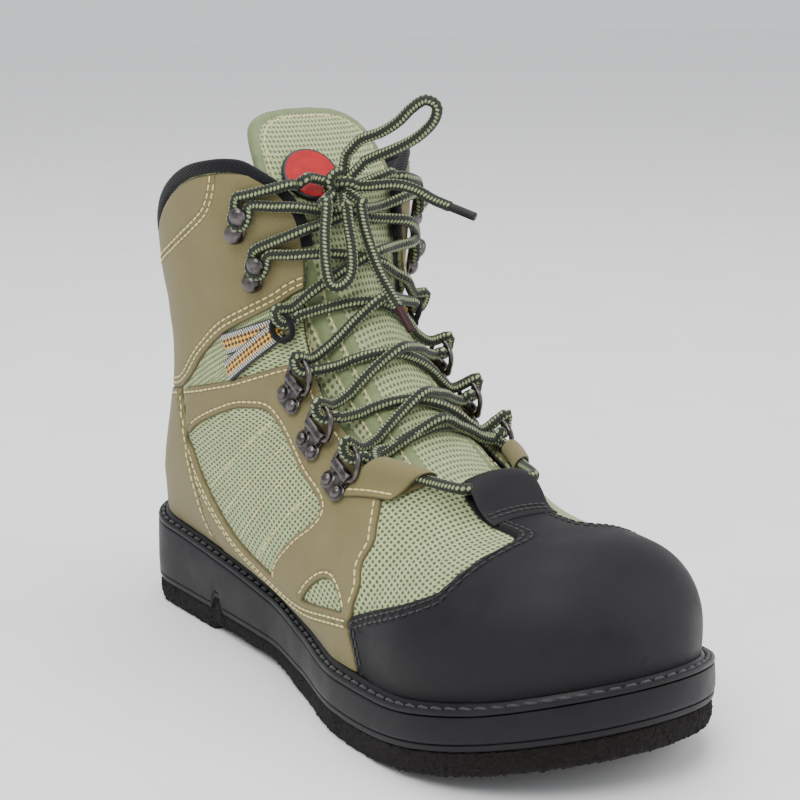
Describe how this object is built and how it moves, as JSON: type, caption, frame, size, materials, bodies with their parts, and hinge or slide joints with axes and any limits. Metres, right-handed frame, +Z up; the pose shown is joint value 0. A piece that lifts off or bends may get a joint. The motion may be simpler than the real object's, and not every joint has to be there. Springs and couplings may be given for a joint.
{
  "type": "wading boot",
  "caption": "Lace-up wading boot for the right foot with a felt outsole, rubber toe cap, mesh windows, ring and hook lacing and a padded tongue.",
  "frame": {"origin": "on the floor, on the flat of the outsole under the heel, on the sole's middle line", "axes": "+X towards the toe, +Y towards the inner side of the foot, +Z up"},
  "size_m": [0.3187, 0.1287, 0.2357],
  "materials": {
    "nubuck": "matte khaki nubuck",
    "mesh": "matte sage mesh",
    "cap_rubber": "matte charcoal",
    "sole_rubber": "smooth charcoal",
    "felt": "fuzzy dark brown felt",
    "insole_foam": "cloth-covered foam",
    "black_cloth": "woven, near black",
    "drain_rubber": "satin black",
    "badge_red": "satin red with a dark rim",
    "black_metal": "gloss black over steel",
    "webbing": "checked woven strap",
    "lace": "round braid, dark green with pale flecks",
    "lace_tip": "dark plastic tip"
  },
  "bodies": {
    "root": {"outsole_felt": "felt", "midsole": "sole_rubber", "welt": "sole_rubber", "insole": "insole_foam", "upper": "mesh", "toe_cap": "cap_rubber", "quarter_lateral": "nubuck", "quarter_medial": "nubuck", "heel_counter": "nubuck", "cuff": "nubuck", "heel_patch": "black_cloth", "collar_binding": "black_cloth", "pull_loop": "black_cloth", "tongue": "mesh", "tongue_badge": "badge_red", "toe_tab": "cap_rubber", "strap_loop_lateral": "nubuck", "ring_plate_lateral_1": "black_metal", "lace_ring_lateral_1": "black_metal", "ring_plate_lateral_2": "black_metal", "lace_ring_lateral_2": "black_metal", "ring_plate_lateral_3": "black_metal", "lace_ring_lateral_3": "black_metal", "hook_lateral_1": "black_metal", "hook_lateral_2": "black_metal", "webbing_lateral": "webbing", "webbing_ring_lateral": "black_cloth", "lace_top_bar_lateral": "lace", "strap_loop_medial": "nubuck", "ring_plate_medial_1": "black_metal", "lace_ring_medial_1": "black_metal", "ring_plate_medial_2": "black_metal", "lace_ring_medial_2": "black_metal", "ring_plate_medial_3": "black_metal", "lace_ring_medial_3": "black_metal", "hook_medial_1": "black_metal", "hook_medial_2": "black_metal", "webbing_medial": "webbing", "webbing_ring_medial": "black_cloth", "lace_top_bar_medial": "lace", "drain_eyelet_1": "drain_rubber", "drain_eyelet_2": "drain_rubber", "lace_toe_bar": "lace", "lace_cross_1": "lace", "lace_cross_2": "lace", "lace_cross_3": "lace", "lace_cross_4": "lace", "lace_cross_5": "lace", "lace_cross_6": "lace", "lace_knot": "lace", "lace_loop_up": "lace", "lace_loop_down": "lace", "lace_end_right": "lace", "lace_end_down": "lace", "aglet_right": "lace_tip", "aglet_down": "lace_tip"}
  },
  "joints": []
}
